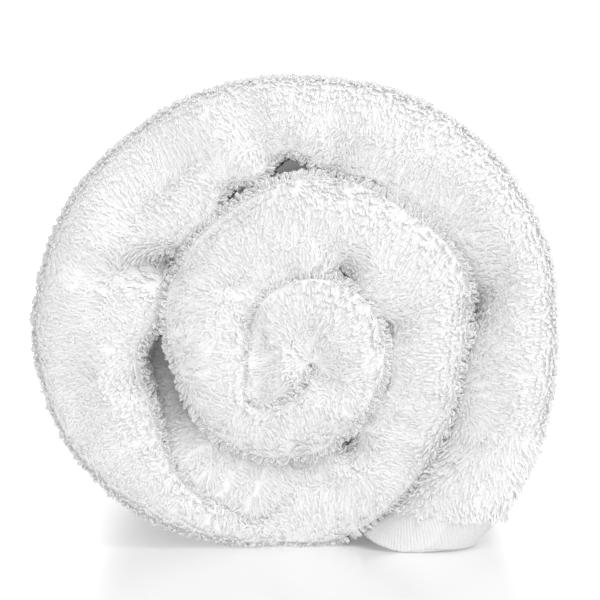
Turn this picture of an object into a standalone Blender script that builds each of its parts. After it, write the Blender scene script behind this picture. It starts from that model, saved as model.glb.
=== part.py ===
"""A bath towel, folded into four layers and rolled up, lying on its side.

The towel is halved across its length, its two long sides are folded to the middle, and the thick band that this makes
is wound up from the halving fold. Each end of the roll shows the band's soft folded lip, wound into a spiral of just
under three turns. The loose end comes down the right side and stands on its hem.

Metres, +Z up. The roll lies along Y and its front end faces -Y. The origin is under the middle of the roll, on the
surface that it lies on. Seen from the front, the band winds outwards clockwise.
"""

import math
from collections import namedtuple

import bmesh
import bpy
import numpy as np

MM = 0.001

# The towel and the roll
TOWEL_WIDTH = 0.690
ROLL_LENGTH = TOWEL_WIDTH / 2
CENTRE_HEIGHT = 56.8 * MM
TURN_GAP = 0.6 * MM
CORE_RADIUS = 1.5 * MM

# The winding angle starts straight below the centre and runs clockwise, in degrees.
FIRST_SECTION = 15
LAST_SECTION = 1063
SECTION_STEPS = {"first": 12.0, "second": 7.5, "third": 5.0}
# The sections turn in the last part of the winding, so that the loose end stands level on the surface.
TAIL_STARTS = 985
TAIL_TURN = 26

# Each row gives the band's outer radius in three turns, in one direction from the centre.
Turns = namedtuple("Turns", "direction first second third")
OUTER_RADIUS_MM = (
    Turns(0, 2.0, 27.0, 59.0),
    Turns(30, 7.5, 31.9, 64.0),
    Turns(60, 21.4, 37.5, 77.0),
    Turns(90, 20.0, 42.2, 87.4),
    Turns(120, 22.6, 52.1, 92.6),
    Turns(150, 27.6, 56.4, 94.2),
    Turns(180, 28.8, 60.8, 92.0),
    Turns(210, 28.2, 58.3, 90.7),
    Turns(240, 25.4, 57.0, 84.7),
    Turns(270, 22.9, 47.4, 77.3),
    Turns(300, 21.1, 48.2, 77.5),
    Turns(330, 22.6, 51.2, 77.0),
)
# How far the lip's crest lies behind the foremost one, at the front end.
SETBACK_MM = (
    Turns(0, 9.0, 1.0, 11.0),
    Turns(60, 3.0, 2.0, 6.0),
    Turns(120, 1.0, 2.0, 5.0),
    Turns(180, 1.0, 4.0, 8.0),
    Turns(240, 0.0, 6.0, 9.0),
    Turns(300, 0.0, 8.0, 3.0),
)
LOOSE_END_SETBACK = 0.5 * MM

# How deep the grooves are between the first and second turns, and between the second and third.
Groove = namedtuple("Groove", "direction inner_mm outer_mm")
GROOVES = (
    Groove(0, 6.5, 8.0),
    Groove(60, 3.0, 8.0),
    Groove(120, 3.0, 7.5),
    Groove(150, 5.0, 9.0),
    Groove(180, 6.0, 8.0),
    Groove(240, 7.5, 9.0),
    Groove(270, 7.5, 10.0),
    Groove(300, 7.0, 8.5),
    Groove(330, 8.0, 6.0),
)

# The lips
LIP_FULLNESS = 0.75
LIP_DEPTH_SHARE = 0.36
LIP_DEPTH_LIMIT = 10 * MM
CORE_LIP_DEPTH = 6 * MM
OUTSIDE_LIP_DEPTH = 12 * MM
END_LIP_DEPTH = 19 * MM
# Where the lips pass from one turn's depth to the next, and to that of the loose end
SECOND_TURN = (345, 375)
THIRD_TURN = (705, 735)
LOOSE_END = (1015, 1050)
# Where the lip's crest lies between its inner and outer sides: (winding, share)
CREST_SHARES = ((905, 0.5), (945, 0.66), (1000, 0.66), (1030, 0.5))

BACK_SETBACK = 5 * MM
BACK_SETBACK_WAVE = 3 * MM
WAIST_SHARE = 0.02
WAIST_UNEVENNESS = 0.6
SIDEWAYS_BEND = 2.5 * MM

# Where the front lip pulls away from the turn inside it, and leaves a small dark hollow.
Hollow = namedtuple("Hollow", "winding half_angle depth_mm")
HOLLOWS = (
    Hollow(559, 12, 5.6),
    Hollow(603, 10, 3.0),
    Hollow(642, 10, 2.5),
    Hollow(694, 14, 5.5),
    Hollow(848, 11, 2.5),
    Hollow(876, 10, 5.0),
    Hollow(893, 10, 7.5),
    Hollow(918, 9, 2.0),
)
HOLLOW_REACH = 45 * MM

# Low on the left the front lip splits in two. The inner lip is the one that lies further back.
Split = namedtuple("Split", "winding crease_radius_mm inner_setback_mm")
SPLIT_LIP = (
    Split(735, 52.5, -1.0),
    Split(754, 53.3, 1.0),
    Split(776, 53.3, 4.0),
    Split(795, 51.4, 10.0),
    Split(806, 52.6, 14.0),
    Split(814, 53.0, 18.0),
    Split(826, 50.0, 18.0),
)
SPLIT_STARTS = (726, 742)
SPLIT_ENDS = (822, 838)

# Creases pressed into the front end, from (x, z) to (x, z) beside the centre, and how deep each is at both ends.
Crease = namedtuple("Crease", "x1 z1 x2 z2 half_width depth_1 depth_2")
CREASES_MM = (
    Crease(-45.6, 33.5, -71.0, 31.5, 7.5, 5.5, 2.5),
    Crease(-46.0, 60.5, -52.0, 70.0, 8.0, 4.0, 2.5),
    Crease(-18.0, 72.0, -14.0, 82.0, 7.0, 3.0, 1.5),
    Crease(7.1, 60.8, 8.7, 77.5, 6.5, 4.0, 1.5),
    Crease(52.1, 19.2, 59.5, 31.0, 6.0, 4.5, 2.0),
    Crease(58.3, -9.9, 41.5, -27.9, 6.0, 2.0, 3.5),
    Crease(-78.0, -2.2, -73.5, -19.2, 8.0, 3.0, 3.0),
    Crease(11.2, 31.0, 3.1, 40.9, 6.0, 4.0, 1.5),
    Crease(23.6, 11.2, 36.6, 20.5, 5.5, 3.5, 1.0),
    Crease(11.8, -23.9, 24.8, -29.1, 6.0, 4.0, 1.0),
    Crease(-37.2, 27.9, -17.4, 24.8, 5.0, 1.5, 2.5),
)
CREASE_REACH = 40 * MM

# Points round each section of the band
INNER_LIP_POINTS = 7
OUTER_LIP_POINTS = 9
FRONT_POINTS = INNER_LIP_POINTS + OUTER_LIP_POINTS
BACK_POINTS = 8
SIDE_STATIONS = (0.05, 0.13, 0.34, 0.62, 0.86)

SMOOTH_LIMIT = math.radians(40)
WHITE_COTTON = (0.90, 0.90, 0.89, 1.0)


def smooth_curve(rows):
    """A function that reads a smooth curve through (place, value) rows."""
    places, values = (np.array(column, float) for column in zip(*rows))
    steps = np.diff(places)
    slopes = np.diff(values) / steps
    inner = (slopes[:-1] * steps[1:] + slopes[1:] * steps[:-1]) / (steps[:-1] + steps[1:])
    tangents = np.concatenate([slopes[:1], inner, slopes[-1:]])

    def read(place):
        place = np.clip(place, places[0], places[-1])
        i = np.clip(np.searchsorted(places, place, side="right") - 1, 0, len(steps) - 1)
        t = (place - places[i]) / steps[i]
        start = values[i] * (1 + 2 * t) * (1 - t) ** 2 + tangents[i] * steps[i] * t * (1 - t) ** 2
        end = values[i + 1] * t * t * (3 - 2 * t) + tangents[i + 1] * steps[i] * t * t * (t - 1)
        return start + end

    return read


def wound(table):
    """(winding, metres) rows of a table that has one column for each turn."""
    return [
        (360 * turn + row.direction, getattr(row, name) * MM)
        for turn, name in enumerate(("first", "second", "third"))
        for row in table
    ]


outer_rows = wound(OUTER_RADIUS_MM)
outer_radius = smooth_curve(outer_rows + [(3 * 360, outer_rows[-1][1])])
front_setback = smooth_curve(wound(SETBACK_MM) + [(LAST_SECTION, LOOSE_END_SETBACK)])
crease_radius = smooth_curve([(row.winding, row.crease_radius_mm * MM) for row in SPLIT_LIP])
inner_lip_setback = smooth_curve([(row.winding, row.inner_setback_mm * MM) for row in SPLIT_LIP])


def ramp(value, low, high):
    """0 below low, 1 above high, and a smooth step between."""
    t = min(max((value - low) / (high - low), 0.0), 1.0)
    return t * t * (3 - 2 * t)


def inner_radius(winding):
    """The band's inner side follows the outer side of the turn that it lies on."""
    if winding < 360 + FIRST_SECTION:
        return CORE_RADIUS
    return max(CORE_RADIUS, float(outer_radius(winding - 360)) + TURN_GAP)


def outer_lag(winding):
    """How many degrees the section's outer side lags behind its inner side."""
    return TAIL_TURN * ramp(winding, TAIL_STARTS, LAST_SECTION)


def hollow_depth(winding):
    """How far the front lip stands off the turn inside it."""
    depth = 0.0
    for hollow in HOLLOWS:
        t = (winding - hollow.winding) / hollow.half_angle
        if abs(t) < 1:
            depth += hollow.depth_mm * MM * (1 - t * t) ** 2
    return depth


def lip(low, high, crest_y, inner_depth, outer_depth, points, crest_share=0.5):
    """(radius, y) points over a rounded lip, from its inner side over its crest to its outer side. It faces -Y."""
    angles = np.linspace(0, math.pi, points)
    leaning = math.log(crest_share) / math.log(0.5)
    across = ((1 - np.cos(angles)) / 2) ** leaning
    depth = np.where(angles < math.pi / 2, inner_depth, outer_depth)
    rise = np.abs(np.sin(angles)) ** LIP_FULLNESS
    return np.column_stack([low + across * (high - low), crest_y + depth * (1 - rise)])


def lip_depths(winding):
    """How far the front lip curves back on its inner side and on its outer side."""
    directions = [row.direction for row in GROOVES]
    inner_groove = np.interp(winding, directions, [row.inner_mm * MM for row in GROOVES], period=360)
    outer_groove = np.interp(winding, directions, [row.outer_mm * MM for row in GROOVES], period=360)
    on_second = ramp(winding, *SECOND_TURN)
    inside = CORE_LIP_DEPTH + on_second * (inner_groove - CORE_LIP_DEPTH)
    inside += ramp(winding, *THIRD_TURN) * (outer_groove - inner_groove)
    outside = inner_groove + on_second * (outer_groove - inner_groove)
    outside += ramp(winding, *THIRD_TURN) * (OUTSIDE_LIP_DEPTH - outer_groove)
    at_end = ramp(winding, *LOOSE_END)
    return inside + at_end * (END_LIP_DEPTH - inside), outside + at_end * (END_LIP_DEPTH - outside)


def lip_depth(thickness):
    return min(LIP_DEPTH_SHARE * thickness, LIP_DEPTH_LIMIT)


def front_lip(winding, low, high):
    """The front lip of one section: a single lip, or two of them where the lip splits."""
    crest_y = -ROLL_LENGTH / 2 + float(front_setback(winding))
    inner_depth, outer_depth = lip_depths(winding)
    crest_share = float(np.interp(winding, *zip(*CREST_SHARES)))
    single = lip(low, high, crest_y, inner_depth, outer_depth, FRONT_POINTS, crest_share)
    share = ramp(winding, *SPLIT_STARTS) * (1 - ramp(winding, *SPLIT_ENDS))
    if share == 0:
        return single
    crease = min(max(float(crease_radius(winding)), low + 2 * TURN_GAP), high - 2 * TURN_GAP)
    inner_crest_y = crest_y + float(inner_lip_setback(winding))
    inner = lip(low, crease - TURN_GAP / 2, inner_crest_y, *[lip_depth(crease - low)] * 2, INNER_LIP_POINTS)
    outer = lip(crease + TURN_GAP / 2, high, crest_y, lip_depth(high - crease), outer_depth, OUTER_LIP_POINTS)
    return (1 - share) * single + share * np.vstack([inner, outer])


def section(winding):
    """The closed ring of (radius, y) points round the band at one winding angle.

    It runs over the front lip outwards, back along the outer side, over the back lip inwards, and forward along the
    inner side.
    """
    low, high = inner_radius(winding), float(outer_radius(winding - outer_lag(winding)))
    stand_off = hollow_depth(winding)
    front = front_lip(winding, low + stand_off, high)
    back_wave = BACK_SETBACK_WAVE * math.sin(math.radians(winding * 1.3))
    back = lip(low, high, 0, *[lip_depth(high - low)] * 2, BACK_POINTS)[::-1]
    back[:, 1] = ROLL_LENGTH / 2 - BACK_SETBACK - back_wave - back[:, 1]
    shares = np.array(SIDE_STATIONS)
    outer_y = front[-1, 1] + shares * (back[0, 1] - front[-1, 1])
    inner_y = front[0, 1] + shares * (back[-1, 1] - front[0, 1])
    reach = [1 - ramp(y - front[0, 1], 0, HOLLOW_REACH) for y in inner_y]
    outer_side = np.column_stack([np.full(len(shares), high), outer_y])
    inner_side = np.column_stack([low + stand_off * np.array(reach), inner_y])[::-1]
    return np.vstack([front, outer_side, back, inner_side])


def crease_depth(x, z):
    """How deep the front end is pressed in at (x, z) beside the centre."""
    depth = 0.0
    for crease in CREASES_MM:
        along_x, along_z = (crease.x2 - crease.x1) * MM, (crease.z2 - crease.z1) * MM
        from_x, from_z = x - crease.x1 * MM, z - crease.z1 * MM
        t = (from_x * along_x + from_z * along_z) / (along_x**2 + along_z**2)
        t = min(max(t, 0.0), 1.0)
        off = math.hypot(from_x - t * along_x, from_z - t * along_z) / (crease.half_width * MM)
        here = crease.depth_1 + t * (crease.depth_2 - crease.depth_1)
        depth = max(depth, here * MM * math.exp(-off * off))
    return depth


def placed(winding, ring):
    """The ring's points in the roll: its ends are a little fuller than its middle, and its underside is flat."""
    low, high = min(radius for radius, y in ring), max(radius for radius, y in ring)
    points = []
    for radius, y in ring:
        angle = math.radians(winding - outer_lag(winding) * (radius - low) / (high - low))
        inwards = ramp(ROLL_LENGTH / 2 - abs(y), 0, ROLL_LENGTH / 2)
        waist = 1 - WAIST_SHARE * inwards * (1 + WAIST_UNEVENNESS * math.sin(2 * angle))
        x, z = -radius * math.sin(angle) * waist, -radius * math.cos(angle) * waist
        behind_front = y + ROLL_LENGTH / 2
        y += crease_depth(x, z) * (1 - ramp(behind_front, CREASE_REACH / 2, CREASE_REACH))
        points.append((x + SIDEWAYS_BEND * inwards, y, max(z + CENTRE_HEIGHT, 0.0)))
    return points


def winding_angles():
    """The winding angle of each section, closer together where the turns are wider."""
    angles = [float(FIRST_SECTION)]
    for turn, step in enumerate(SECTION_STEPS.values(), 1):
        end = min(360.0 * turn, LAST_SECTION)
        count = round((end - angles[-1]) / step)
        angles += list(np.linspace(angles[-1], end, count + 1)[1:])
    return angles


def add_end(bm, ring, first_left, flip):
    """Closes one end of the band with a strip of faces, from the front crest to the back crest."""
    count = len(ring)
    for k in range(count // 2 - 1):
        left, next_left = ring[(first_left - k) % count], ring[(first_left - k - 1) % count]
        right, next_right = ring[(first_left + 1 + k) % count], ring[(first_left + 2 + k) % count]
        corners = (left, next_left, next_right, right)
        bm.faces.new(corners[::-1] if flip else corners)


def roll_mesh():
    """The band lofted through its sections and closed at both ends."""
    bm = bmesh.new()
    angles = winding_angles()
    rings = [[bm.verts.new(p) for p in placed(w, section(w))] for w in angles]
    count = len(rings[0])
    for ring, following in zip(rings, rings[1:]):
        for i in range(count):
            j = (i + 1) % count
            bm.faces.new((ring[i], ring[j], following[j], following[i]))
    add_end(bm, rings[0], FRONT_POINTS // 2 - 1, False)
    add_end(bm, rings[-1], FRONT_POINTS // 2 - 1, True)
    bmesh.ops.recalc_face_normals(bm, faces=bm.faces)
    across = [v.co.x for v in bm.verts]
    along = [v.co.y for v in bm.verts]
    middle = ((min(across) + max(across)) / 2, (min(along) + max(along)) / 2, 0)
    bmesh.ops.translate(bm, verts=bm.verts, vec=[-c for c in middle])
    mesh = bpy.data.meshes.new("towel_roll")
    bm.to_mesh(mesh)
    bm.free()
    return mesh


def white_terry():
    material = bpy.data.materials.new("white_terry")
    material.use_nodes = True
    shader = material.node_tree.nodes["Principled BSDF"]
    shader.inputs["Base Color"].default_value = WHITE_COTTON
    shader.inputs["Roughness"].default_value = 0.95
    shader.inputs["Metallic"].default_value = 0.0
    return material


def main():
    for obj in list(bpy.data.objects):
        bpy.data.objects.remove(obj)
    parts = bpy.data.collections.new("rolled_bath_towel")
    bpy.context.scene.collection.children.link(parts)
    mesh = roll_mesh()
    mesh.materials.append(white_terry())
    mesh.shade_smooth()
    mesh.set_sharp_from_angle(angle=SMOOTH_LIMIT)
    parts.objects.link(bpy.data.objects.new("towel_roll", mesh))


main()
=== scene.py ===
"""The looks of the rolled bath towel: white terry with real pile loops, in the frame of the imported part.

The wound band is worked out again from the part's named sizes, on a fine grid. The cloth's ground lies a
little inside the part's surface, and loops of yarn stand on it in rows that follow the winding.
"""
import math
from collections import namedtuple

import bpy
import numpy as np
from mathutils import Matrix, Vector, noise


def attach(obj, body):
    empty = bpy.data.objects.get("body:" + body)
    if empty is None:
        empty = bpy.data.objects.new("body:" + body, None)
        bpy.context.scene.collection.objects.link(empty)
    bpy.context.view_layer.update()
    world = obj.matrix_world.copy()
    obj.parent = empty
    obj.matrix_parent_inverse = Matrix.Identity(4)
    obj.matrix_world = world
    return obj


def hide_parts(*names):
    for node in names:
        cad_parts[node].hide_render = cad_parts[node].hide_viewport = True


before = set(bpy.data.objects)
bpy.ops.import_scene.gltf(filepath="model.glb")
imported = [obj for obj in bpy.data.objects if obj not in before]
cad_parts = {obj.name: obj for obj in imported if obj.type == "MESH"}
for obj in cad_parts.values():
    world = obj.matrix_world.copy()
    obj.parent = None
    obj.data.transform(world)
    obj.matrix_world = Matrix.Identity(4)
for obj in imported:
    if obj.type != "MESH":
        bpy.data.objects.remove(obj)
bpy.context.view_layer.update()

MM = 0.001

# The roll, in the part's sizes
ROLL_LENGTH = 0.345
CENTRE_HEIGHT = 56.8 * MM
TURN_GAP = 0.6 * MM
CORE_RADIUS = 1.5 * MM
FIRST_SECTION = 15
LAST_SECTION = 1063
TAIL_STARTS = 985
TAIL_TURN = 26

# Each row gives the band's outer radius in three turns, in one direction from the centre.
Turns = namedtuple("Turns", "direction first second third")
OUTER_RADIUS_MM = (
    Turns(0, 2.0, 27.0, 59.0),
    Turns(30, 7.5, 31.9, 64.0),
    Turns(60, 21.4, 37.5, 77.0),
    Turns(90, 20.0, 42.2, 87.4),
    Turns(120, 22.6, 52.1, 92.6),
    Turns(150, 27.6, 56.4, 94.2),
    Turns(180, 28.8, 60.8, 92.0),
    Turns(210, 28.2, 58.3, 90.7),
    Turns(240, 25.4, 57.0, 84.7),
    Turns(270, 22.9, 47.4, 77.3),
    Turns(300, 21.1, 48.2, 77.5),
    Turns(330, 22.6, 51.2, 77.0),
)
# How far the lip's crest lies behind the foremost one, at the front end.
SETBACK_MM = (
    Turns(0, 9.0, 1.0, 11.0),
    Turns(60, 3.0, 2.0, 6.0),
    Turns(120, 1.0, 2.0, 5.0),
    Turns(180, 1.0, 4.0, 8.0),
    Turns(240, 0.0, 6.0, 9.0),
    Turns(300, 0.0, 8.0, 3.0),
)
LOOSE_END_SETBACK = 0.5 * MM

LIP_DEPTH_SHARE = 0.36
LIP_DEPTH_LIMIT = 10 * MM
LIP_FULLNESS = 0.75
CORE_LIP_DEPTH = 6 * MM
OUTSIDE_LIP_DEPTH = 12 * MM
END_LIP_DEPTH = 19 * MM
SECOND_TURN = (345, 375)
THIRD_TURN = (705, 735)
LOOSE_END = (1015, 1050)

# How deep the grooves are between the first and second turns, and between the second and third.
Groove = namedtuple("Groove", "direction inner_mm outer_mm")
GROOVES = (
    Groove(0, 6.5, 8.0),
    Groove(30, 5.0, 8.0),
    Groove(60, 3.0, 8.0),
    Groove(90, 3.0, 8.0),
    Groove(120, 3.0, 7.5),
    Groove(150, 5.0, 9.0),
    Groove(180, 6.0, 8.0),
    Groove(210, 8.0, 6.5),
    Groove(240, 7.5, 10.0),
    Groove(270, 7.5, 13.0),
    Groove(300, 7.0, 11.5),
    Groove(330, 8.0, 6.0),
)
BACK_SETBACK = 5 * MM
BACK_SETBACK_WAVE = 3 * MM
BACK_WAVES = 1.3
WAIST_SHARE = 0.02
WAIST_UNEVENNESS = 0.6
SIDEWAYS_BEND = 2.5 * MM

# Where the front lip pulls away from the turn inside it, and leaves a small dark hollow.
Hollow = namedtuple("Hollow", "winding half_angle depth_mm")
HOLLOWS = (
    Hollow(559, 12, 4.8),
    Hollow(603, 10, 3.0),
    Hollow(642, 10, 2.5),
    Hollow(694, 19, 5.6),
    Hollow(848, 11, 2.5),
    Hollow(876, 10, 5.5),
    Hollow(893, 12, 8.0),
    Hollow(918, 9, 2.0),
)
HOLLOW_REACH = 45 * MM

# Low on the left the front lip splits in two. The inner lip is the one that lies further back.
Split = namedtuple("Split", "winding crease_radius_mm inner_setback_mm")
SPLIT_LIP = (
    Split(735, 52.5, -1.0),
    Split(754, 53.3, 1.0),
    Split(776, 53.3, 4.0),
    Split(795, 51.4, 16.0),
    Split(806, 52.6, 23.0),
    Split(814, 54.6, 28.0),
    Split(826, 50.0, 30.0),
)
SPLIT_STARTS = (726, 742)
SPLIT_END = 829

# Where the lip's crest lies between its inner and outer sides: (winding, share)
CREST_SHARES = ((905, 0.5), (945, 0.66), (1000, 0.66), (1030, 0.5))

# Creases pressed into the front end, from (x, z) to (x, z) beside the centre, and their depth at both ends.
Crease = namedtuple("Crease", "x1 z1 x2 z2 half_width depth_1 depth_2")
CREASES_MM = (
    Crease(-45.6, 33.5, -71.0, 31.5, 4.0, 12.0, 5.5),
    Crease(-9.3, -9.6, -4.7, -6.2, 1.7, 3.0, 5.0),
    Crease(-4.7, -6.2, -1.5, -1.0, 1.9, 4.5, 2.0),
    Crease(-1.0, 8.5, 5.0, -3.0, 6.5, 4.6, 4.0),
    Crease(-21.4, 19.5, -18.6, 10.2, 2.8, 3.0, 3.0),
    Crease(-18.6, 10.2, -15.5, 4.0, 2.8, 3.0, 2.6),
    Crease(-15.5, 4.0, -18.0, -8.0, 2.8, 2.6, 2.0),
    Crease(-56.0, 54.0, -43.0, 67.0, 7.5, 6.5, 5.5),
    Crease(-16.0, 70.0, -21.0, 80.0, 6.0, 5.0, 3.5),
    Crease(7.1, 60.8, 8.7, 77.5, 5.5, 5.5, 2.5),
    Crease(51.5, 18.0, 59.5, 31.0, 4.5, 8.0, 4.0),
    Crease(58.3, -9.9, 41.5, -27.9, 4.5, 2.0, 3.5),
    Crease(-50.8, -3.1, -62.0, -5.0, 4.5, 3.5, 1.0),
    Crease(-78.0, -2.2, -73.5, -19.2, 7.0, 4.5, 4.0),
    Crease(11.2, 31.0, 3.1, 40.9, 4.5, 4.5, 1.5),
    Crease(23.6, 11.2, 36.6, 20.5, 3.5, 4.0, 1.0),
    Crease(16.4, -16.1, 36.6, -19.8, 2.5, 1.8, 0.8),
    Crease(11.8, -23.9, 24.8, -29.1, 5.0, 4.0, 1.0),
    Crease(-2.5, -28.5, 6.2, -38.4, 4.5, 3.0, 1.5),
    Crease(-37.2, 27.9, -17.4, 24.8, 2.5, 1.5, 3.0),
)
CREASE_REACH = 40 * MM

# The grid: sections along the winding, and points round each section. CAP_POINT is the place in the ring
# where the strips start that close the band's two ends.
SECTION_STEP = 3.0
HEM_SECTIONS = 28
INNER_SIDE_POINTS = 24
INNER_LIP_POINTS = 40
OUTER_LIP_POINTS = 52
FRONT_POINTS = 76
SIDE_POINTS = 14
BACK_POINTS = 28
CAP_POINT = 50
# How far behind the front the finely spaced points start on the inner side, and the least room that they have
FRONT_REACH = 52 * MM
LEAST_REACH = 1 * MM
SMALLEST = 1e-12

# Softness of the cloth: (wavelength, height) of its unevenness, and how much of it the roll's sides have
LUMPS = ((30 * MM, 2.4 * MM), (12 * MM, 0.9 * MM))
OUTSIDE_SWELLING = 0.4
# Where the band's outer side becomes the roll's outside
OUTSIDE_STARTS = (690, 712)
# How far the ground lies below the part's surface, and the least share of that between the turns
GROUND_DEPTH = 1.2 * MM
LEAST_EXPOSED = 0.1
FLOOR_CLEARANCE = 0.15 * MM

# The hem of the loose end
HEM_STARTS = 1044
HEM_HEIGHT = 11.0 * MM
HEM_EDGE = 0.5 * MM
HEM_DEPTH = 0.9 * MM
# How far the hem's colour is darkened: painted shade, for the hem that tilts down away from the light
HEM_PAINTED_SHADE = 0.78
RIB_PITCH = 1.1 * MM
RIB_HEIGHT = 0.07 * MM
# How far the ribs shift from one degree of the winding to the next, and where that fades round the section
RIB_SHEAR = 0.9 * MM
RIB_SHEAR_FADES = (5 * MM, 45 * MM)

# A loop of yarn is part of a circle, in degrees to both sides of its top, in a few crooked variants.
LOOP_ARC = 150
LOOP_VARIANTS = 12
LOOP_BEND = 0.2
LOOP_CROOK = 0.1
LOOP_WIDTHS = (0.8, 1.2)
YARN_WIDTHS = (0.85, 1.15)
TUBE_SIDES = 3
ROOT_DEPTH = 0.35 * MM
SHAPE_SEED = 5
PILE_SEED = 11

# How the loops lean over the lips, and how far they lie down, in degrees from upright
OUTWARD_LEAN = -1.5
LEAN_TURNS = 4 * MM
LEAN_RAMP = 6 * MM
LEAN_JITTER = 0.2
DOWN_STARTS = (1000, 1025)
TILT = (62, 86)
TWIST = 22
# How much more upright they are on surfaces that don't face the ends
UPRIGHT_IN_GROOVES = 30
UPRIGHT_OUTSIDE = 8
UPRIGHT_FACING = (0.25, 0.8)
# The sizes of the broad and fine swirls in which the pile is combed
BROAD_COMBING = 22 * MM
FINE_COMBING = 7 * MM
FINE_COMBING_SHARE = 0.4
# Without a seed the swirls would differ from run to run.
COMBING_SEED = 3

# How much of the cloth's normal the yarn's shading takes: facing the ends, and on the sides
CLOTH_SHADING = 0.8
SIDE_SHADING = 0.3
SHADING_FACING = (0.35, 0.9)
# How far those normals lean forwards on the outside, and where that fades behind the front
FRONT_LEAN = 0.7
FRONT_LEAN_ENDS = (10 * MM, 90 * MM)

# Where the pile grows. Its rows run from INNERMOST_PILE inside the lip's crest to OUTERMOST_PILE outside it.
LIP_ZONE = 24 * MM
# How far behind the front it reaches between the turns: in plain grooves, and in the hollows and the split
GROOVE_PILE_REACH = 26 * MM
DEEP_PILE_REACH = 60 * MM
INNERMOST_PILE = -90 * MM
SIDE_PILE_STARTS = 32 * MM
OUTERMOST_PILE = 360 * MM
# The stretch of the winding where the view goes deep into the split
SPLIT_WALL = (730, 836)
# The underside's pile is pressed flat where it is this low and faces this far down.
RESTING_HEIGHT = 3 * MM
RESTING_NORMAL = -0.6

Pile = namedtuple("Pile", "name row_mm step_mm width_mm height_mm spread yarn_mm segments")
FRONT_PILE = Pile("pile_front", 1.92, 1.68, 1.0, 3.3, 0.25, 0.9, 5)
NEAR_SIDE_PILE = Pile("pile_side_near", 3.0, 2.7, 1.5, 3.9, 0.25, 1.25, 3)
FAR_SIDE_PILE = Pile("pile_side_far", 3.0, 2.7, 1.5, 3.9, 0.25, 1.25, 3)
BACK_PILE = Pile("pile_back", 2.8, 2.5, 1.4, 3.7, 0.25, 1.15, 3)

# Stretches of the winding, each one mesh
Stretch = namedtuple("Stretch", "suffix first last")
WHOLE_WINDING = (Stretch("", 0, 1080),)
FRONT_STRETCHES = (
    Stretch("_core", 0, 560),
    Stretch("_middle", 560, 740),
    Stretch("_left", 740, 880),
    Stretch("_right", 880, 1080),
)

# White cotton
WHITE = (0.96, 0.96, 0.96, 1)
SHADED_WHITE = (0.925, 0.925, 0.93, 1)
TONE_SCALE = 60
COTTON_FINISH = (
    ("Roughness", 0.95),
    ("Specular IOR Level", 0.2),
    ("Sheen Weight", 0.15),
    ("Sheen Roughness", 0.6),
)
Grain = namedtuple("Grain", "scale height")
GROUND_GRAIN = Grain(900, 0.4 * MM)
YARN_GRAIN = Grain(2500, 0.1 * MM)
# A faint glow painted into the cotton, which lifts its shadows as light soaking through white cotton would
PAINTED_GLOW_STRENGTH = 0.11
# How much stronger the painted glow is in the front end's ground; where it fades in grooves and along sides
GROUND_GLOW = 2.0
# Where the glow fades deep in the grooves, the cotton is left in painted shade
GROOVE_DARKENS = (3 * MM, 15 * MM)
# The painted glow is brighter at the rim near the front of the outside
RIM_GLOW = 1.3
SIDE_GLOW = 0.25
SIDE_DARKENS = (5 * MM, 110 * MM)

# The floor, and how much brighter the camera sees it
FLOOR_HALF = 6.0
FLOOR_COLOUR = (0.93, 0.93, 0.93, 1)
FLOOR_ROUGHNESS = 0.2
FLOOR_GLOW = 0.16

# How bright the white studio is: as light, as the camera sees it, and as the floor mirrors it
STUDIO_LIGHT = 0.43
SEEN_STUDIO = 1.05
MIRRORED_STUDIO = 1.5
Light = namedtuple("Light", "name place target size power")
LIGHTS = (
    Light("key", (0.75, -0.75, 1.0), (0, -0.1, 0.07), 0.9, 7.6),
    Light("front", (0.1, -1.6, 0.35), (0, -0.1, 0.07), 1.2, 5.5),
    Light("back", (-0.6, 1.4, 0.9), (0, 0.1, 0.07), 1.0, 5),
)

# The camera: the size of the photo's pixels at the front, and where the roll's centre and floor are
PIXEL = 0.31 * MM
FRAME_PX = 600
CENTRE_PX = 312
FLOOR_PX = 555.5
CAMERA_DISTANCE = 0.9
CAMERA_HEIGHT = 0.130
SENSOR_MM = 36.0
HIGH_KEY_GAMMA = 1.3


def smooth_curve(rows):
    """A function that reads a smooth curve through (place, value) rows."""
    places, values = (np.array(column, float) for column in zip(*rows))
    steps = np.diff(places)
    slopes = np.diff(values) / steps
    inner = (slopes[:-1] * steps[1:] + slopes[1:] * steps[:-1]) / (steps[:-1] + steps[1:])
    tangents = np.concatenate([slopes[:1], inner, slopes[-1:]])

    def read(place):
        place = np.clip(place, places[0], places[-1])
        i = np.clip(np.searchsorted(places, place, side="right") - 1, 0, len(steps) - 1)
        t = (place - places[i]) / steps[i]
        start = values[i] * (1 + 2 * t) * (1 - t) ** 2 + tangents[i] * steps[i] * t * (1 - t) ** 2
        end = values[i + 1] * t * t * (3 - 2 * t) + tangents[i + 1] * steps[i] * t * t * (t - 1)
        return start + end

    return read


def wound(table):
    """(winding, metres) rows of a table that has one column for each turn."""
    return [
        (360 * turn + row.direction, getattr(row, name) * MM)
        for turn, name in enumerate(("first", "second", "third"))
        for row in table
    ]


outer_rows = wound(OUTER_RADIUS_MM)
outer_radius = smooth_curve(outer_rows + [(3 * 360, outer_rows[-1][1])])
front_setback = smooth_curve(wound(SETBACK_MM) + [(LAST_SECTION, LOOSE_END_SETBACK)])
crease_radius = smooth_curve([(row.winding, row.crease_radius_mm * MM) for row in SPLIT_LIP])
inner_lip_setback = smooth_curve([(row.winding, row.inner_setback_mm * MM) for row in SPLIT_LIP])


def ramp(value, low, high):
    """0 below low, 1 above high, and a smooth step between."""
    t = np.clip((value - low) / (high - low), 0.0, 1.0)
    return t * t * (3 - 2 * t)


def inner_radius(winding):
    """The band's inner side follows the outer side of the turn that it lies on."""
    on_turn = np.maximum(CORE_RADIUS, outer_radius(winding - 360) + TURN_GAP)
    return np.where(winding < 360 + FIRST_SECTION, CORE_RADIUS, on_turn)


def outer_lag(winding):
    """How many degrees the section's outer side lags behind its inner side."""
    return TAIL_TURN * ramp(winding, TAIL_STARTS, LAST_SECTION)


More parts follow.
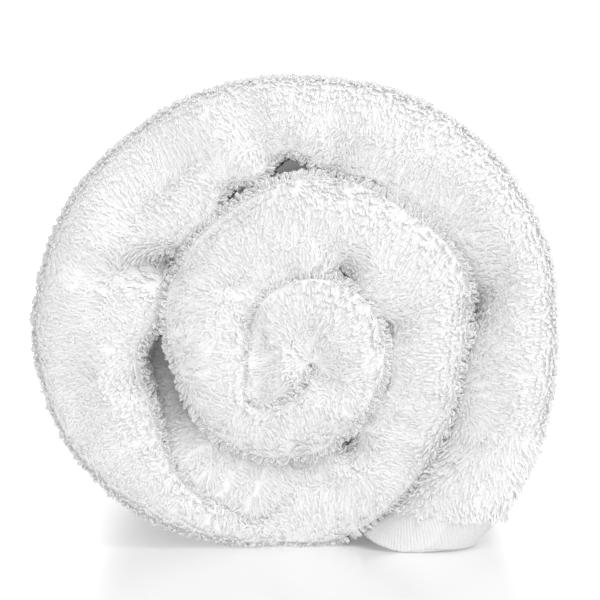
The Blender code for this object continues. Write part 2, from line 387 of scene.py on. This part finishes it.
def hollow_depth(winding):
    """How far the front lip stands off the turn inside it."""
    depth = np.zeros_like(winding)
    for hollow in HOLLOWS:
        t = np.clip((winding - hollow.winding) / hollow.half_angle, -1, 1)
        depth += hollow.depth_mm * MM * (1 - t * t) ** 2
    return depth


def lip(low, high, crest_y, inner_depth, outer_depth, points, crest_share=0.5):
    """(radius, y) grids over rounded lips, from their inner side over the crest to their outer side."""
    angles = np.linspace(0, math.pi, points)[None, :]
    leaning = np.log(np.broadcast_to(crest_share, low.shape))[:, None] / math.log(0.5)
    across = ((1 - np.cos(angles)) / 2) ** leaning
    depth = np.where(angles < math.pi / 2, inner_depth[:, None], outer_depth[:, None])
    rise = np.abs(np.sin(angles)) ** LIP_FULLNESS
    radius = low[:, None] + across * (high - low)[:, None]
    return np.stack([radius, crest_y[:, None] + depth * (1 - rise)], axis=2)


def lip_depths(winding):
    """How far the front lip curves back on its inner side and on its outer side."""
    directions = [row.direction for row in GROOVES]
    inner_groove = np.interp(winding, directions, [row.inner_mm * MM for row in GROOVES], period=360)
    outer_groove = np.interp(winding, directions, [row.outer_mm * MM for row in GROOVES], period=360)
    on_second = ramp(winding, *SECOND_TURN)
    inside = CORE_LIP_DEPTH + on_second * (inner_groove - CORE_LIP_DEPTH)
    inside += ramp(winding, *THIRD_TURN) * (outer_groove - inner_groove)
    outside = inner_groove + on_second * (outer_groove - inner_groove)
    outside += ramp(winding, *THIRD_TURN) * (OUTSIDE_LIP_DEPTH - outer_groove)
    at_end = ramp(winding, *LOOSE_END)
    return inside + at_end * (END_LIP_DEPTH - inside), outside + at_end * (END_LIP_DEPTH - outside)


def lip_depth(thickness):
    """How far a plain lip curves back."""
    return np.minimum(LIP_DEPTH_SHARE * thickness, LIP_DEPTH_LIMIT)


def front_lips(winding, low, high):
    """The front lip of each section: a single lip, or two of them where the lip splits."""
    crest_y = -ROLL_LENGTH / 2 + front_setback(winding)
    inner_depth, outer_depth = lip_depths(winding)
    crest_share = np.interp(winding, *zip(*CREST_SHARES))
    lip_points = INNER_LIP_POINTS + OUTER_LIP_POINTS
    single = lip(low, high, crest_y, inner_depth, outer_depth, lip_points, crest_share)
    share = np.where(winding < SPLIT_END, ramp(winding, *SPLIT_STARTS), 0)
    crease = np.clip(crease_radius(winding), low + 2 * TURN_GAP, high - 2 * TURN_GAP)
    inner_crest_y = crest_y + inner_lip_setback(winding)
    inner = lip(low, crease - TURN_GAP / 2, inner_crest_y, *[lip_depth(crease - low)] * 2, INNER_LIP_POINTS)
    outer = lip(crease + TURN_GAP / 2, high, crest_y, lip_depth(high - crease), outer_depth, OUTER_LIP_POINTS)
    share = share[:, None, None]
    lips = (1 - share) * single + share * np.concatenate([inner, outer], axis=1)
    split_crest = INNER_LIP_POINTS + OUTER_LIP_POINTS / 2
    crest = (1 - share[:, 0, 0]) * (single.shape[1] - 1) / 2 + share[:, 0, 0] * split_crest
    depths = np.linspace(1, 0, INNER_SIDE_POINTS, endpoint=False)[None, :]
    side_y = lips[:, :1, 1] + depths * np.maximum(FRONT_REACH - ROLL_LENGTH / 2 - lips[:, :1, 1], LEAST_REACH)
    side = np.stack([np.broadcast_to(lips[:, :1, 0], side_y.shape), side_y], axis=2)
    return evenly_spaced(np.concatenate([side, lips], axis=1), crest + INNER_SIDE_POINTS)


def evenly_spaced(lines, marks):
    """Each line with its points spread evenly along it, and the place of each line's mark among them."""
    spread, places = [], []
    for line, mark in zip(lines, marks):
        reach = np.concatenate([[0], np.cumsum(np.hypot(*np.diff(line, axis=0).T))])
        even = np.linspace(0, reach[-1], FRONT_POINTS)
        spread.append(np.stack([np.interp(even, reach, line[:, column]) for column in (0, 1)], axis=1))
        places.append(np.interp(mark, np.arange(len(line)), reach) / reach[-1] * (FRONT_POINTS - 1))
    return np.array(spread), np.array(places)


def sections(winding):
    """The closed rings of (radius, y) points round the band, one for each winding angle."""
    low, high = inner_radius(winding), outer_radius(winding - outer_lag(winding))
    stand_off = hollow_depth(winding)
    front, crest = front_lips(winding, low + stand_off, high)
    back_wave = BACK_SETBACK_WAVE * np.sin(np.radians(winding * BACK_WAVES))
    back = lip(low, high, np.zeros_like(low), *[lip_depth(high - low)] * 2, BACK_POINTS)[:, ::-1]
    back[:, :, 1] = ROLL_LENGTH / 2 - BACK_SETBACK - back_wave[:, None] - back[:, :, 1]
    shares = (np.arange(SIDE_POINTS) + 0.5)[None, :] / SIDE_POINTS
    outer_y = front[:, -1, 1:] + shares * (back[:, :1, 1] - front[:, -1, 1:])
    inner_y = front[:, :1, 1] + shares * (back[:, -1:, 1] - front[:, :1, 1])
    reach = 1 - ramp(inner_y - front[:, :1, 1], 0, HOLLOW_REACH)
    outer_side = np.stack([np.broadcast_to(high[:, None], outer_y.shape), outer_y], axis=2)
    inner_side = np.stack([low[:, None] + stand_off[:, None] * reach, inner_y], axis=2)[:, ::-1]
    return np.concatenate([front, outer_side, back, inner_side], axis=1), low, high, crest


def crease_depth(x, z):
    """How deep the front end is pressed in at (x, z) beside the centre."""
    depth = np.zeros_like(x)
    for crease in CREASES_MM:
        along_x, along_z = (crease.x2 - crease.x1) * MM, (crease.z2 - crease.z1) * MM
        from_x, from_z = x - crease.x1 * MM, z - crease.z1 * MM
        t = np.clip((from_x * along_x + from_z * along_z) / (along_x**2 + along_z**2), 0.0, 1.0)
        off = np.hypot(from_x - t * along_x, from_z - t * along_z) / (crease.half_width * MM)
        here = crease.depth_1 + t * (crease.depth_2 - crease.depth_1)
        depth = np.maximum(depth, here * MM * np.exp(-off * off))
    return depth


def unit(vectors):
    return vectors / np.maximum(np.linalg.norm(vectors, axis=-1, keepdims=True), SMALLEST)


def surface_normals(points):
    """Unit normals of a grid of points, out of the band."""
    along = np.gradient(points, axis=0)
    wrapped = np.concatenate([points[:, -1:], points, points[:, :1]], axis=1)
    round_section = wrapped[:, 2:] - wrapped[:, :-2]
    return unit(np.cross(along, round_section))


def unevenness(points):
    """How far the soft cloth swells or sinks at each point."""
    flat = points.reshape(-1, 3)
    height = np.zeros(len(flat))
    for wavelength, amount in LUMPS:
        height += [amount * noise.noise(Vector(p) / wavelength) for p in flat]
    return height.reshape(points.shape[:2] + (1,))


def wound_surface():
    """The part's surface as a grid: its winding angles, points and crests, and where the box's middle was."""
    count = round((HEM_STARTS - FIRST_SECTION) / SECTION_STEP) + 1
    winding = np.concatenate([np.linspace(FIRST_SECTION, HEM_STARTS, count, endpoint=False),
                              np.linspace(HEM_STARTS, LAST_SECTION, HEM_SECTIONS)])
    rings, low, high, crest = sections(winding)
    across = np.clip((rings[:, :, 0] - low[:, None]) / (high - low)[:, None], 0, 1)
    angle = np.radians(winding[:, None] - outer_lag(winding)[:, None] * across)
    radius, y = rings[:, :, 0], rings[:, :, 1].copy()
    inwards = ramp(ROLL_LENGTH / 2 - np.abs(y), 0, ROLL_LENGTH / 2)
    waist = 1 - WAIST_SHARE * inwards * (1 + WAIST_UNEVENNESS * np.sin(2 * angle))
    x, z = -radius * np.sin(angle) * waist, -radius * np.cos(angle) * waist
    behind_front = y + ROLL_LENGTH / 2
    y += crease_depth(x, z) * (1 - ramp(behind_front, CREASE_REACH / 2, CREASE_REACH))
    points = np.stack([x + SIDEWAYS_BEND * inwards, y, z + CENTRE_HEIGHT], axis=2)
    floored = np.maximum(points[:, :, 2], 0)
    middle = [(points[:, :, k].min() + points[:, :, k].max()) / 2 for k in (0, 1)] + [0.0]
    points -= middle
    points[:, :, 2] = floored
    return winding, points, crest, middle


def new_object(name, data):
    """A new object in the scene."""
    obj = bpy.data.objects.new(name, data)
    bpy.context.scene.collection.objects.link(obj)
    return obj


def grid_object(name, points, material):
    """A closed mesh on a grid of rings, its ends closed by strips."""
    rows, count = points.shape[:2]
    index = np.arange(rows * count).reshape(rows, count)
    following = np.roll(index, -1, axis=1)
    quads = np.stack([index[:-1], following[:-1], following[1:], index[1:]], axis=2).reshape(-1, 4)
    faces = [tuple(int(i) for i in quad) for quad in quads]
    for row, flip in ((0, False), (rows - 1, True)):
        ring = index[row]
        for k in range(count // 2 - 1):
            left, next_left = ring[(CAP_POINT - 1 - k) % count], ring[(CAP_POINT - 2 - k) % count]
            right, next_right = ring[(CAP_POINT + k) % count], ring[(CAP_POINT + 1 + k) % count]
            corners = [int(c) for c in (left, next_left, next_right, right)]
            faces.append(tuple(corners[::-1] if flip else corners))
    mesh = bpy.data.meshes.new(name)
    mesh.from_pydata(points.reshape(-1, 3).tolist(), [], faces)
    mesh.materials.append(material)
    mesh.shade_smooth()
    return new_object(name, mesh)


def store(mesh, name, values):
    """Keeps one value for each point of a mesh, for its material."""
    stored = mesh.attributes.new(name, "FLOAT", "POINT")
    stored.data.foreach_set("value", values.reshape(-1).astype(np.float32))


def hem_share(height, winding):
    """1 on the hem of the loose end, and 0 above it."""
    low = 1 - ramp(height, HEM_HEIGHT - HEM_EDGE, HEM_HEIGHT + HEM_EDGE)
    return low * (winding >= HEM_STARTS)


def ground_grid(surface, normals, on_hem, outer_side):
    """The ground's grid: below the part's surface, and swollen and sunk as soft cloth is.

    The pile is pressed flat between the turns, and stands free on the front, the back and the outside.
    """
    facing_end = np.abs(normals[:, :, 1])
    exposed = np.maximum(outer_side, np.clip(facing_end, LEAST_EXPOSED, 1))[:, :, None]
    swelling = unevenness(surface) * (OUTSIDE_SWELLING + (1 - OUTSIDE_SWELLING) * facing_end[:, :, None])
    depth = (GROUND_DEPTH - swelling) * (1 - on_hem) + HEM_DEPTH * on_hem
    grid = surface - normals * depth * exposed
    grid[:, :, 2] = np.maximum(grid[:, :, 2], FLOOR_CLEARANCE)
    return grid


def rib_places(ground, winding, crest):
    """How far round the section each point is from the crest, sheared so that ribs follow the loose end."""
    steps = np.linalg.norm(np.diff(ground, axis=1), axis=2)
    places = np.concatenate([np.zeros((len(ground), 1)), np.cumsum(steps, axis=1)], axis=1)
    crest_at = [np.interp(place, np.arange(row.size), row) for place, row in zip(crest, places)]
    places -= np.array(crest_at)[:, None]
    return places - RIB_SHEAR * (winding[:, None] - HEM_STARTS) * (1 - ramp(places, *RIB_SHEAR_FADES))


def painted_glow_amount(y, winding, outside):
    """The cotton's painted glow: painted shade deep between the turns, and less far along the outside."""
    in_groove = 1 - ramp(y - front_y - front_setback(winding), *GROOVE_DARKENS)
    # A painted rim glow near the front of the outside, which fades along the sides
    on_side = RIM_GLOW - (RIM_GLOW - SIDE_GLOW) * ramp(y - front_y, *SIDE_DARKENS)
    return PAINTED_GLOW_STRENGTH * np.where(outside, on_side, in_groove)


def loop_shapes(segments):
    """Loop paths in their own frame, one row for each variant: sideways, crooked and along the loop."""
    rng = np.random.default_rng(SHAPE_SEED)
    turn = np.radians(np.linspace(-LOOP_ARC, LOOP_ARC, segments + 1))
    shapes = []
    for _ in range(LOOP_VARIANTS):
        bend = rng.uniform(-LOOP_BEND, LOOP_BEND, 2)
        along = 0.5 + 0.5 * np.cos(turn)
        sideways = 0.5 * np.sin(turn) * rng.uniform(*LOOP_WIDTHS) + bend[0] * along
        crooked = bend[1] * np.sin(turn) + LOOP_CROOK
        shapes.append(np.stack([sideways, crooked, along], axis=1))
    return np.array(shapes)


def pile_rows(points, normals, winding, crest, pile, keep, rng):
    """Loops in rows along the winding: roots, normals, row directions, winding and way from the crest."""
    row_gap, step_gap = pile.row_mm * MM, pile.step_mm * MM
    steps = np.linalg.norm(np.diff(np.concatenate([points, points[:, :1]], axis=1), axis=1), axis=2)
    lengths = np.concatenate([np.zeros((len(points), 1)), np.cumsum(steps, axis=1)], axis=1)
    crest_at = [np.interp(place, np.arange(row.size), row) for place, row in zip(crest, lengths)]
    from_crest = lengths[:, :-1] - np.array(crest_at)[:, None]
    found = []
    rows = np.arange(math.ceil(from_crest.min() / row_gap), math.floor(from_crest.max() / row_gap) + 1)
    section = np.arange(len(points))
    for k in rows:
        v = k * row_gap
        inside = (from_crest[:, 0] <= v) & (v < from_crest[:, -1])
        if inside.sum() < 2:
            continue
        j = np.clip((from_crest <= v).sum(axis=1) - 1, 0, points.shape[1] - 2)
        span = from_crest[section, j + 1] - from_crest[section, j]
        f = ((v - from_crest[section, j]) / span)[:, None]
        place = points[section, j] * (1 - f) + points[section, j + 1] * f
        normal = normals[section, j] * (1 - f) + normals[section, j + 1] * f
        step = np.linalg.norm(np.diff(place, axis=0), axis=1)
        reach = np.concatenate([[0], np.cumsum(step)])
        count = int(reach[-1] / step_gap)
        at = (np.arange(count) + 0.5 * (k % 2) + rng.uniform(-0.5, 0.5, count)) * step_gap
        at = at[(at > 0) & (at < reach[-1])]
        i = np.clip(np.searchsorted(reach, at, side="right") - 1, 0, len(reach) - 2)
        g = ((at - reach[i]) / np.maximum(step[i], SMALLEST))[:, None]
        root = place[i] * (1 - g) + place[i + 1] * g
        direction = normal[i] * (1 - g) + normal[i + 1] * g
        along = place[i + 1] - place[i]
        w = winding[i] + g[:, 0] * (winding[i + 1] - winding[i])
        ok = inside[i] & inside[i + 1] & keep(root, direction, w, np.full(len(w), v))
        found.append((root[ok], direction[ok], along[ok], w[ok], np.full(ok.sum(), v)))
    return [np.concatenate(column) for column in zip(*found)]


def combing(roots):
    """The way that the pile leans at each root: a smooth wandering field, the same in each run."""
    noise.seed_set(COMBING_SEED)
    field = []
    for root in roots:
        place = Vector(root)
        broad, fine = noise.noise_vector(place / BROAD_COMBING), noise.noise_vector(place / FINE_COMBING)
        field.append(tuple(broad + FINE_COMBING_SHARE * fine))
    return np.array(field)


def loop_axes(roots, normals, along, w, from_crest, outside, rng):
    """Three axes of each loop: along it, across its width, and across its thickness."""
    count = len(roots)
    along = unit(along - normals * np.sum(along * normals, axis=1, keepdims=True))
    beside = np.cross(normals, along)
    outward = OUTWARD_LEAN * beside * np.tanh((from_crest + LEAN_TURNS) / LEAN_RAMP)[:, None]
    down = ramp(w, *DOWN_STARTS)[:, None]
    lean = combing(roots) + (1 - down) * outward + down * np.array([0, 0, -1.0])
    lean += rng.normal(0, LEAN_JITTER, (count, 3))
    lean = unit(lean - normals * np.sum(lean * normals, axis=1, keepdims=True))
    on_side = 1 - ramp(np.abs(normals[:, 1]), *UPRIGHT_FACING)
    upright = on_side * np.where(outside, UPRIGHT_OUTSIDE, UPRIGHT_IN_GROOVES)
    tilt = np.radians(rng.uniform(*TILT, count) - upright)[:, None]
    axis = normals * np.cos(tilt) + lean * np.sin(tilt)
    across = np.cross(axis, lean * np.cos(tilt) - normals * np.sin(tilt))
    twist = np.radians(rng.normal(0, TWIST, count))[:, None]
    wide = np.cos(twist) * across + np.sin(twist) * np.cross(axis, across)
    return axis, wide, np.cross(axis, wide)


def loop_paths(pile, roots, normals, axes, rng):
    """The path of each loop's yarn, with both its ends sunk in the cloth."""
    axis, wide, deep = (direction[:, None, :] for direction in axes)
    count = len(roots)
    shapes = loop_shapes(pile.segments)[rng.integers(0, LOOP_VARIANTS, count)]
    height = pile.height_mm * MM * rng.uniform(1 - pile.spread, 1 + pile.spread, count)[:, None]
    width = pile.width_mm * MM * rng.uniform(*LOOP_WIDTHS, count)[:, None]
    return (roots[:, None, :] - normals[:, None, :] * ROOT_DEPTH
            + wide * (shapes[:, :, 0] * width)[:, :, None]
            + deep * (shapes[:, :, 1] * width)[:, :, None]
            + axis * (shapes[:, :, 2] * height)[:, :, None])


def corner_directions(path, deep):
    """The directions from the yarn's middle to the corners of its tube."""
    tangent = unit(np.gradient(path, axis=1))
    side = unit(np.cross(tangent, deep[:, None, :]))
    other = np.cross(tangent, side)
    angles = [corner * 2 * math.pi / TUBE_SIDES for corner in range(TUBE_SIDES)]
    return np.stack([math.cos(a) * side + math.sin(a) * other for a in angles], axis=2)


def shading_normals(directions, cloth_normals, y, outside):
    """Normals of the tubes' corners: the tube's own, and partly the cloth's, which makes the yarn look soft.

    The ends take more of the cloth's than the sides do. On the outside near the front the cloth's normals
    lean forwards, because light soaks round the outermost lip.
    """
    forwards = FRONT_LEAN * outside * (1 - ramp(y - front_y, *FRONT_LEAN_ENDS))
    cloth_normals = unit(cloth_normals - forwards[:, None] * np.array([0, 1.0, 0]))
    facing = ramp(np.abs(cloth_normals[:, 1]), *SHADING_FACING)[:, None, None, None]
    share = SIDE_SHADING + (CLOTH_SHADING - SIDE_SHADING) * facing
    return unit((1 - share) * directions + share * cloth_normals[:, None, None, :])


def tube_mesh(name, points):
    """A mesh of tubes on a grid of points: loop, ring of the loop, and corner of the ring."""
    index = np.arange(points[..., 0].size).reshape(points.shape[:3])
    following = np.roll(index, -1, axis=2)
    corners = [index[:, :-1], following[:, :-1], following[:, 1:], index[:, 1:]]
    quads = np.stack(corners, axis=3).reshape(-1, 4)
    mesh = bpy.data.meshes.new(name)
    mesh.vertices.add(index.size)
    mesh.vertices.foreach_set("co", points.reshape(-1))
    mesh.loops.add(len(quads) * 4)
    mesh.loops.foreach_set("vertex_index", quads.reshape(-1))
    mesh.polygons.add(len(quads))
    mesh.polygons.foreach_set("loop_start", np.arange(0, len(quads) * 4, 4))
    mesh.polygons.foreach_set("use_smooth", np.ones(len(quads), bool))
    mesh.update(calc_edges=True)
    mesh.validate()
    return mesh


def pile_object(pile, roots, normals, along, w, from_crest, outside, material, rng):
    """One mesh of yarn loops, a tube for each."""
    normals = unit(normals)
    axes = loop_axes(roots, normals, along, w, from_crest, outside, rng)
    path = loop_paths(pile, roots, normals, axes, rng)
    directions = corner_directions(path, axes[2])
    yarn = pile.yarn_mm * MM / 2 * rng.uniform(*YARN_WIDTHS, len(roots))[:, None, None, None]
    points = path[:, :, None, :] + yarn * directions
    points[..., 2] = np.maximum(points[..., 2], FLOOR_CLEARANCE)
    mesh = tube_mesh(pile.name, points)
    soft_normals = shading_normals(directions, normals, roots[:, 1], outside)
    mesh.normals_split_custom_set_from_vertices(soft_normals.reshape(-1, 3))
    mesh.materials.append(material)
    # Each loop's painted glow, which lifts its shadows
    store(mesh, "painted_glow", np.repeat(painted_glow_amount(roots[:, 1], w, outside), points[0, ..., 0].size))
    return new_object(pile.name, mesh)


def link(tree, output, socket):
    tree.links.new(output, socket)


def cotton_group():
    """The tone and grain of white cotton, shared by the ground and the yarn."""
    group = bpy.data.node_groups.new("cotton", "ShaderNodeTree")
    for name, kind in (("Place", "NodeSocketVector"), ("Grain Scale", "NodeSocketFloat")):
        group.interface.new_socket(name, in_out="INPUT", socket_type=kind)
    for name, kind in (("Colour", "NodeSocketColor"), ("Height", "NodeSocketFloat")):
        group.interface.new_socket(name, in_out="OUTPUT", socket_type=kind)
    given, result = group.nodes.new("NodeGroupInput"), group.nodes.new("NodeGroupOutput")
    tone = group.nodes.new("ShaderNodeTexNoise")
    tone.inputs["Scale"].default_value = TONE_SCALE
    colour = group.nodes.new("ShaderNodeMix")
    colour.data_type = "RGBA"
    colour.inputs["A"].default_value = SHADED_WHITE
    colour.inputs["B"].default_value = WHITE
    grain = group.nodes.new("ShaderNodeTexNoise")
    link(group, given.outputs["Place"], tone.inputs["Vector"])
    link(group, tone.outputs["Fac"], colour.inputs["Factor"])
    link(group, colour.outputs["Result"], result.inputs["Colour"])
    link(group, given.outputs["Place"], grain.inputs["Vector"])
    link(group, given.outputs["Grain Scale"], grain.inputs["Scale"])
    link(group, grain.outputs["Fac"], result.inputs["Height"])
    return group


def cotton_material(name, group, grain):
    """Matt white cotton with its own grain, and the painted glow that its mesh stores."""
    material = bpy.data.materials.new(name)
    material.use_nodes = True
    tree = material.node_tree
    shader = tree.nodes["Principled BSDF"]
    for socket, value in COTTON_FINISH:
        shader.inputs[socket].default_value = value
    place = tree.nodes.new("ShaderNodeTexCoord")
    cotton = tree.nodes.new("ShaderNodeGroup")
    cotton.name = "cotton"
    cotton.node_tree = group
    cotton.inputs["Grain Scale"].default_value = grain.scale
    bump = tree.nodes.new("ShaderNodeBump")
    bump.name = "grain"
    bump.inputs["Distance"].default_value = grain.height
    painted_glow = tree.nodes.new("ShaderNodeAttribute")
    painted_glow.attribute_name = "painted_glow"
    link(tree, place.outputs["Object"], cotton.inputs["Place"])
    link(tree, cotton.outputs["Colour"], shader.inputs["Base Color"])
    # The cotton glows in its own colour, as strongly as the painted glow that the mesh stores
    link(tree, cotton.outputs["Colour"], shader.inputs["Emission Color"])
    link(tree, painted_glow.outputs["Fac"], shader.inputs["Emission Strength"])
    link(tree, cotton.outputs["Height"], bump.inputs["Height"])
    link(tree, bump.outputs["Normal"], shader.inputs["Normal"])
    return material


def add_hem_ribs(material):
    """Fine ribs and painted shade on the hem, from the values that the mesh stores for each point."""
    tree = material.node_tree
    shader = tree.nodes["Principled BSDF"]
    way_round, on_hem = tree.nodes.new("ShaderNodeAttribute"), tree.nodes.new("ShaderNodeAttribute")
    way_round.attribute_name, on_hem.attribute_name = "way_round", "on_hem"
    turns, wave, ribs = (tree.nodes.new("ShaderNodeMath") for _ in range(3))
    turns.operation, wave.operation, ribs.operation = "MULTIPLY", "SINE", "MULTIPLY"
    turns.inputs[1].default_value = 2 * math.pi / RIB_PITCH
    bump = tree.nodes.new("ShaderNodeBump")
    bump.inputs["Distance"].default_value = RIB_HEIGHT
    # Painted shade on the hem
    hem_shaded_colour = tree.nodes.new("ShaderNodeMix")
    hem_shaded_colour.data_type = "RGBA"
    hem_shaded_colour.blend_type = "MULTIPLY"
    hem_shaded_colour.inputs["B"].default_value = (HEM_PAINTED_SHADE, HEM_PAINTED_SHADE, HEM_PAINTED_SHADE, 1)
    link(tree, way_round.outputs["Fac"], turns.inputs[0])
    link(tree, turns.outputs["Value"], wave.inputs[0])
    link(tree, wave.outputs["Value"], ribs.inputs[0])
    link(tree, on_hem.outputs["Fac"], ribs.inputs[1])
    link(tree, ribs.outputs["Value"], bump.inputs["Height"])
    link(tree, tree.nodes["grain"].outputs["Normal"], bump.inputs["Normal"])
    link(tree, bump.outputs["Normal"], shader.inputs["Normal"])
    link(tree, on_hem.outputs["Fac"], hem_shaded_colour.inputs["Factor"])
    link(tree, tree.nodes["cotton"].outputs["Colour"], hem_shaded_colour.inputs["A"])
    link(tree, hem_shaded_colour.outputs["Result"], shader.inputs["Base Color"])


def on_terry(root, w):
    return hem_share(root[:, 2], w) < 0.5


def by_hollow(w, v):
    """True on the walls of the hollows, where the view goes deep between the turns."""
    near = np.zeros(len(w), bool)
    for hollow in HOLLOWS:
        near |= (v < 0) & (np.abs(w - hollow.winding) < hollow.half_angle)
        near |= (v > 0) & (np.abs(w + 360 - hollow.winding) < hollow.half_angle)
    return near


def on_front(root, normal, w, v):
    """The lips of the front end, and the walls between the turns as far as they show."""
    deep = ((w > SPLIT_WALL[0]) & (w < SPLIT_WALL[1]) & (v < 0)) | by_hollow(w, v)
    outside = (w > OUTSIDE_STARTS[1]) & (v > 0)
    shown = outside | (root[:, 1] - front_y < np.where(deep, DEEP_PILE_REACH, GROOVE_PILE_REACH))
    return on_terry(root, w) & shown & (v > INNERMOST_PILE) & (v < SIDE_PILE_STARTS)


def on_side(far_half):
    """The roll's outside behind the front lips, for its far or its near half."""
    def keep(root, normal, w, v):
        on_half = (root[:, 1] > 0) == far_half
        past_lip = (v >= SIDE_PILE_STARTS) & (root[:, 1] < back_y - LIP_ZONE)
        resting = (root[:, 2] < RESTING_HEIGHT) & (normal[:, 2] < RESTING_NORMAL)
        outer = (w > OUTSIDE_STARTS[1]) & on_terry(root, w) & (v < OUTERMOST_PILE)
        return outer & past_lip & on_half & ~resting
    return keep


def on_back(root, normal, w, v):
    """The lips of the back end."""
    return (root[:, 1] >= back_y - LIP_ZONE) & (v > 0) & on_terry(root, w)


def add_pile(pile, keep, stretches, material, rng):
    """The loops of one pile, in one mesh for each stretch of the winding."""
    rows = pile_rows(ground, ground_normals, winding, crest, pile, keep, rng)
    roots, directions, along, w, from_crest = rows
    outside = ((w > OUTSIDE_STARTS[1]) & (from_crest > 0)) | (roots[:, 1] > 0)
    for stretch in stretches:
        here = (w >= stretch.first) & (w < stretch.last)
        loops = pile_object(pile._replace(name=pile.name + stretch.suffix), roots[here], directions[here],
                            along[here], w[here], from_crest[here], outside[here], material, rng)
        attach(loops, "root")


def studio_floor():
    """A plain pale floor, which the camera sees a little brighter than its light makes it."""
    mesh = bpy.data.meshes.new("floor")
    corners = [(x * FLOOR_HALF, y * FLOOR_HALF, 0) for x, y in ((-1, -1), (1, -1), (1, 1), (-1, 1))]
    mesh.from_pydata(corners, [], [(0, 1, 2, 3)])
    material = bpy.data.materials.new("floor")
    material.use_nodes = True
    tree = material.node_tree
    shader = tree.nodes["Principled BSDF"]
    shader.inputs["Base Color"].default_value = FLOOR_COLOUR
    shader.inputs["Roughness"].default_value = FLOOR_ROUGHNESS
    shader.inputs["Emission Color"].default_value = (1, 1, 1, 1)
    rays = tree.nodes.new("ShaderNodeLightPath")
    glow = tree.nodes.new("ShaderNodeMath")
    glow.operation = "MULTIPLY"
    glow.inputs[1].default_value = FLOOR_GLOW
    link(tree, rays.outputs["Is Camera Ray"], glow.inputs[0])
    link(tree, glow.outputs["Value"], shader.inputs["Emission Strength"])
    mesh.materials.append(material)
    return new_object("floor", mesh)


def studio_world():
    """Soft white light from all round, brighter where the camera sees it and where the floor mirrors it."""
    world = bpy.data.worlds.new("studio")
    world.use_nodes = True
    tree = world.node_tree
    background = tree.nodes["Background"]
    background.inputs["Color"].default_value = (1, 1, 1, 1)
    rays = tree.nodes.new("ShaderNodeLightPath")
    seen, mirrored = (tree.nodes.new("ShaderNodeMath") for _ in range(2))
    seen.operation = mirrored.operation = "MULTIPLY_ADD"
    seen.inputs[1].default_value = SEEN_STUDIO - STUDIO_LIGHT
    seen.inputs[2].default_value = STUDIO_LIGHT
    mirrored.inputs[1].default_value = MIRRORED_STUDIO - STUDIO_LIGHT
    link(tree, rays.outputs["Is Camera Ray"], seen.inputs[0])
    link(tree, rays.outputs["Is Glossy Ray"], mirrored.inputs[0])
    link(tree, seen.outputs["Value"], mirrored.inputs[2])
    link(tree, mirrored.outputs["Value"], background.inputs["Strength"])
    return world


def area_light(light):
    """A soft square light that shines at its target."""
    lamp = bpy.data.lights.new(light.name, "AREA")
    lamp.size = light.size
    lamp.energy = light.power
    obj = new_object(light.name, lamp)
    obj.location = light.place
    obj.rotation_euler = (Vector(light.target) - Vector(light.place)).to_track_quat("-Z", "Y").to_euler()


def photo_camera():
    """A camera in front of the roll's end, with the photo's scale and framing."""
    camera_data = bpy.data.cameras.new("camera")
    camera_data.sensor_width = SENSOR_MM
    camera_data.lens = SENSOR_MM * CAMERA_DISTANCE / (FRAME_PX * PIXEL)
    look_x = (FRAME_PX / 2 - CENTRE_PX) * PIXEL - middle[0]
    look_z = (FLOOR_PX - FRAME_PX / 2) * PIXEL
    camera = new_object("camera", camera_data)
    camera.location = (look_x, front_y - CAMERA_DISTANCE, CAMERA_HEIGHT)
    aim = Vector((look_x, front_y, look_z)) - camera.location
    camera.rotation_euler = aim.to_track_quat("-Z", "Y").to_euler()
    return camera


# The cloth's surface, and the ground below its pile
winding, surface, crest, middle = wound_surface()
normals = surface_normals(surface)
front_y, back_y = surface[:, :, 1].min(), surface[:, :, 1].max()
past_crest = np.arange(surface.shape[1])[None, :] > crest[:, None]
on_hem = hem_share(surface[:, :, 2:], winding[:, None, None])
ground = ground_grid(surface, normals, on_hem, ramp(winding, *OUTSIDE_STARTS)[:, None] * past_crest)
ground_normals = surface_normals(ground)

cotton = cotton_group()
ground_material = cotton_material("terry_ground", cotton, GROUND_GRAIN)
add_hem_ribs(ground_material)
yarn_material = cotton_material("cotton_yarn", cotton, YARN_GRAIN)

towel = grid_object("towel_ground", ground, ground_material)
outside = ((winding > OUTSIDE_STARTS[1])[:, None] & past_crest) | (ground[:, :, 1] > back_y - LIP_ZONE)
# Painted glow on the ground: stronger where it faces the ends, painted shade deep in the grooves
painted_glow = painted_glow_amount(ground[:, :, 1], winding[:, None], outside)
store(towel.data, "way_round", rib_places(ground, winding, crest))
store(towel.data, "on_hem", on_hem)
store(towel.data, "painted_glow", painted_glow * np.where(outside, 1, GROUND_GLOW * np.abs(normals[:, :, 1])))
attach(towel, "root")
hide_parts("towel_roll")

# The pile
pile_rng = np.random.default_rng(PILE_SEED)
add_pile(FRONT_PILE, on_front, FRONT_STRETCHES, yarn_material, pile_rng)
add_pile(NEAR_SIDE_PILE, on_side(False), WHOLE_WINDING, yarn_material, pile_rng)
add_pile(FAR_SIDE_PILE, on_side(True), WHOLE_WINDING, yarn_material, pile_rng)
add_pile(BACK_PILE, on_back, WHOLE_WINDING, yarn_material, pile_rng)

# The studio
studio_floor()
bpy.context.scene.world = studio_world()
for light in LIGHTS:
    area_light(light)
bpy.context.scene.camera = photo_camera()
bpy.context.scene.view_settings.view_transform = "Standard"
bpy.context.scene.view_settings.gamma = HIGH_KEY_GAMMA
